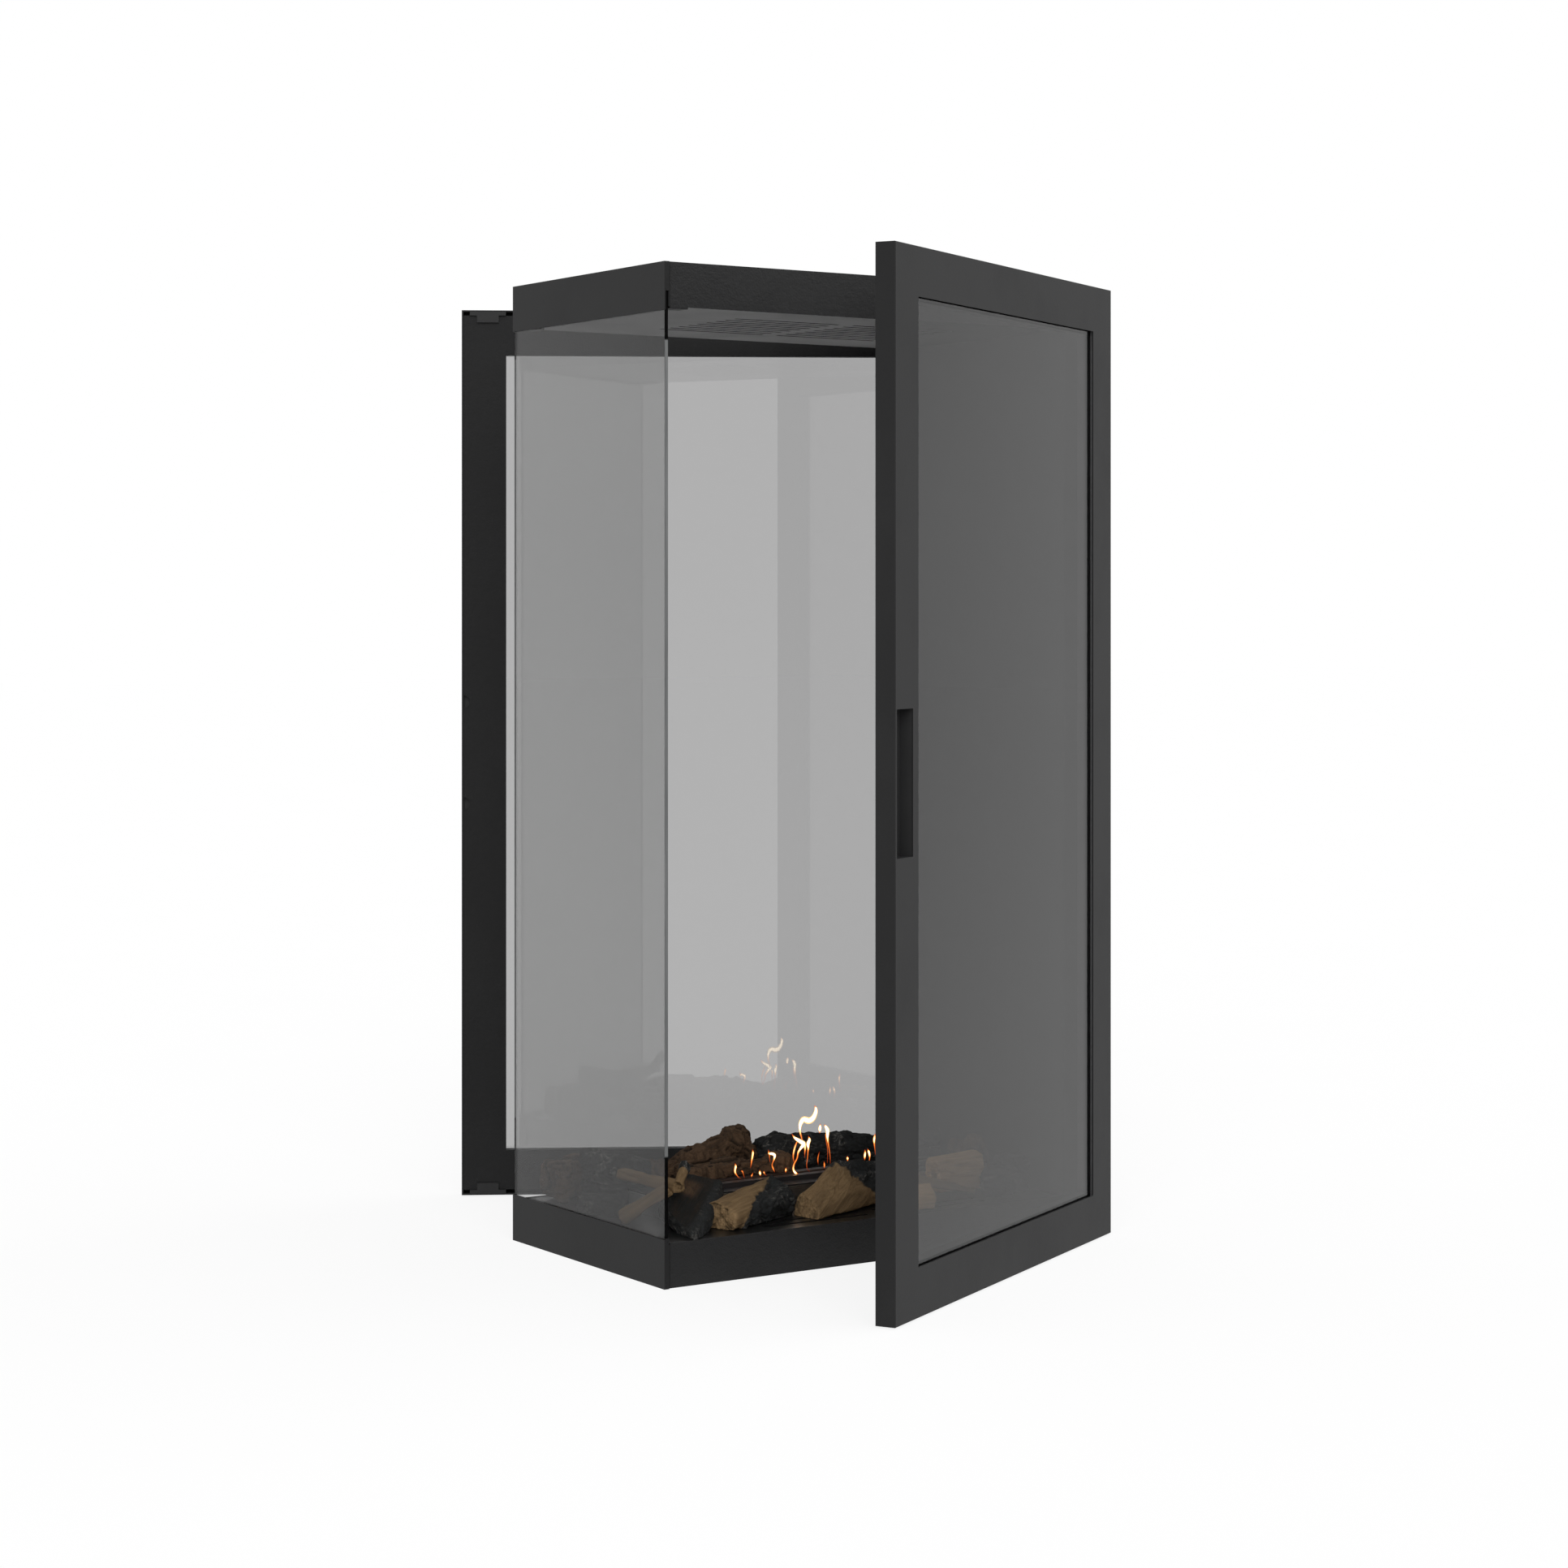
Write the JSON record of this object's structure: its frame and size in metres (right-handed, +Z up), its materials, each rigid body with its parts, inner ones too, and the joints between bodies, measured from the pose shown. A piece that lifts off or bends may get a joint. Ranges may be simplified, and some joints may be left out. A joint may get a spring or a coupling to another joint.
{
  "type": "double-sided ethanol fireplace",
  "caption": "Free-standing see-through ethanol fireplace with two hinged glass doors, a fixed side glass, a slotted ceiling, a slot burner and a ceramic wood set.",
  "frame": {"origin": "centre of the cabinet's base, on the floor", "axes": "+X to the closed hinge wall, -Y to the front door, +Z up"},
  "size_m": [0.6257, 0.9802, 1.15],
  "materials": {
    "powder_coat": "anthracite powder coat, fine texture, satin",
    "burner_black": "dark heat-tinted steel, satin",
    "stainless": "brushed stainless steel",
    "zinc_steel": "zinc-plated steel, satin",
    "bronze": "turned bronze",
    "black_screws": "blackened steel",
    "magnet": "nickel-plated catch magnet",
    "glass": "clear tempered glass, lightly reflective",
    "graphite_tape": "black woven sealing tape",
    "ceramic_wool": "white ceramic wool",
    "insulation": "pale insulation board",
    "bark_log": "cast ceramic bark, red-brown, matt",
    "charred_log": "cast ceramic charcoal, black with silvery cracks, matt",
    "split_log": "cast ceramic split wood, pale tan grain, matt"
  },
  "bodies": {
    "cabinet": {"base_plate": "powder_coat", "hearth_plate": "powder_coat", "front_plinth": "powder_coat", "back_plinth": "powder_coat", "left_plinth_panel": "powder_coat", "front_header": "powder_coat", "back_header": "powder_coat", "left_header_panel": "powder_coat", "top_cover": "powder_coat", "ceiling_louvre": "powder_coat", "right_wall_liner": "powder_coat", "right_wall_casing": "powder_coat", "right_wall_insulation": "insulation", "side_glass": "glass", "side_glass_tape": "graphite_tape", "side_glass_stops": "powder_coat", "catch_plates": "powder_coat", "catch_magnets": "magnet", "cabinet_screws": "black_screws", "hinge_brackets": "zinc_steel", "hinge_bushes": "bronze", "burner_tank": "stainless", "burner_top_plate": "burner_black", "burner_wool": "ceramic_wool", "snuffer_guides": "stainless", "log_bark_back_left": "bark_log", "log_charred_back_right": "charred_log", "log_bark_on_burner": "bark_log", "log_charred_slab": "charred_log", "log_split_front": "split_log", "log_split_centre": "split_log", "log_brown_left": "bark_log", "log_charcoal_left": "charred_log", "log_charcoal_back": "charred_log", "log_bark_right": "bark_log", "log_tan_right": "split_log", "log_knotted_right": "charred_log", "log_tan_front": "split_log", "charred_chips": "charred_log", "twigs": "split_log"},
    "snuffer": {"burner_snuffer": "stainless", "snuffer_knob": "stainless"},
    "front_door": {"front_door_frame": "powder_coat", "front_door_inner_panel": "powder_coat", "front_door_glass": "glass", "front_door_glass_tape": "graphite_tape", "front_door_grip_cup": "powder_coat", "front_door_strikers": "powder_coat", "front_door_hinge_arms": "zinc_steel", "front_door_hinge_pins": "stainless", "front_door_hinge_screws": "black_screws"},
    "back_door": {"back_door_frame": "powder_coat", "back_door_inner_panel": "powder_coat", "back_door_glass": "glass", "back_door_glass_tape": "graphite_tape", "back_door_grip_cup": "powder_coat", "back_door_strikers": "powder_coat", "back_door_hinge_arms": "zinc_steel", "back_door_hinge_pins": "stainless", "back_door_hinge_screws": "black_screws"}
  },
  "joints": [
    {"name": "front_door_hinge", "type": "hinge", "parent": "cabinet", "child": "front_door", "pos_m": [0.2935, -0.1625, 0.575], "axis": [0, 0, 1], "range_deg": [-29.1, 80.9]},
    {"name": "back_door_hinge", "type": "hinge", "parent": "cabinet", "child": "back_door", "pos_m": [0.2935, 0.1625, 0.575], "axis": [0, 0, -1], "range_deg": [-29.7, 80.3]},
    {"name": "snuffer_slide", "type": "slide", "parent": "cabinet", "child": "snuffer", "axis": [0, -1, 0], "range_m": [0, 0.016]}
  ]
}
